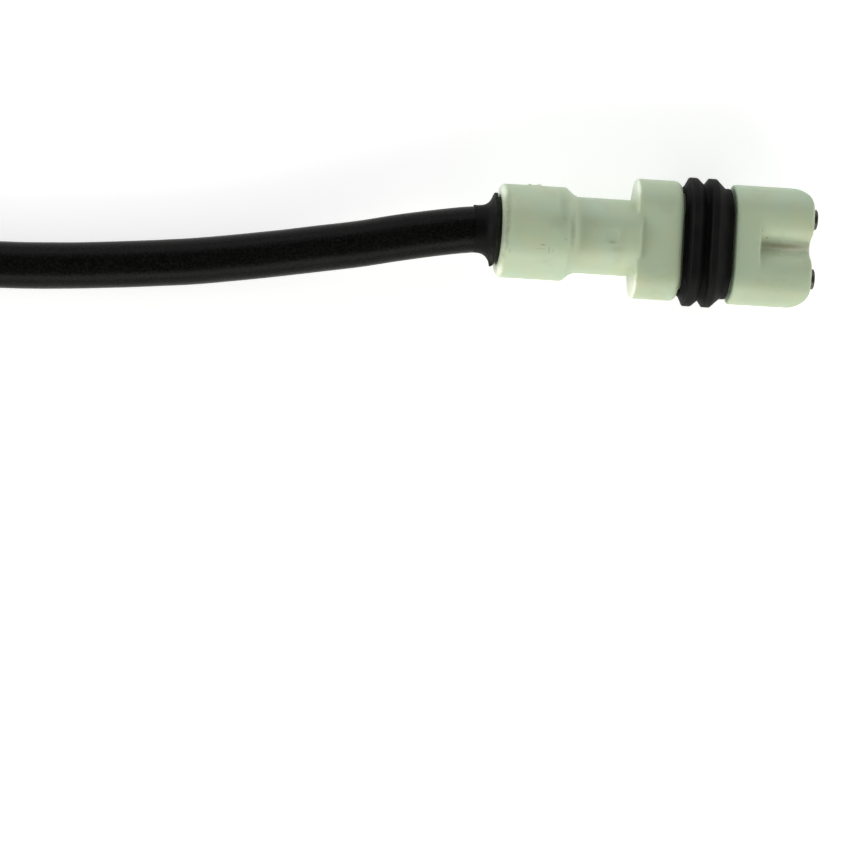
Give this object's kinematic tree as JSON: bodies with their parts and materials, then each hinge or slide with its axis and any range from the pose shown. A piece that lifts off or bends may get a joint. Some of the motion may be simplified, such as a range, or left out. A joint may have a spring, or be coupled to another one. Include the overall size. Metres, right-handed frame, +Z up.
{
  "type": "brake pad wear sensor",
  "caption": "Brake pad wear sensor lead: pale oval plug with finned rubber seal and socket contacts, round black cable, and a clip-in sensor head with a wire loop.",
  "frame": {"origin": "on the surface that the part lies on, under the middle of the plug with its seal, contacts and sealing bead; the lead and the sensor head are left out of that box", "axes": "+X along the plug towards its contacts, the way it goes into its socket; +Y across the contacts, towards the left one; +Z up from the surface"},
  "size_m": [0.2603, 0.0184, 0.0113],
  "materials": {
    "housing_plastic": "moulded, satin, pale greenish cream",
    "seal_rubber": "moulded, satin black",
    "contact_metal": "turned, dull tin plate",
    "copper": "bare copper",
    "core_insulation": "extruded, satin brown",
    "cable_sealant": "glossy black, cast in place",
    "cable_sheath": "extruded, satin black",
    "sleeve_rubber": "moulded, matte black",
    "crimp_brass": "drawn tube",
    "spring_steel": "rolled strip"
  },
  "bodies": {
    "root": {"connector_housing": "housing_plastic", "interface_seal": "seal_rubber", "contact_left": "contact_metal", "contact_right": "contact_metal", "contact_conductor_left": "copper", "contact_conductor_right": "copper", "contact_core_left": "core_insulation", "contact_core_right": "core_insulation", "cable_seal": "cable_sealant", "cable_jacket": "cable_sheath", "head_strain_relief": "sleeve_rubber", "sensor_body": "housing_plastic", "sensing_loop": "copper", "loop_crimp_left": "crimp_brass", "loop_crimp_right": "crimp_brass", "head_core_left": "core_insulation", "head_core_right": "core_insulation", "head_conductor_left": "copper", "head_conductor_right": "copper", "retaining_clip": "spring_steel"}
  },
  "joints": []
}
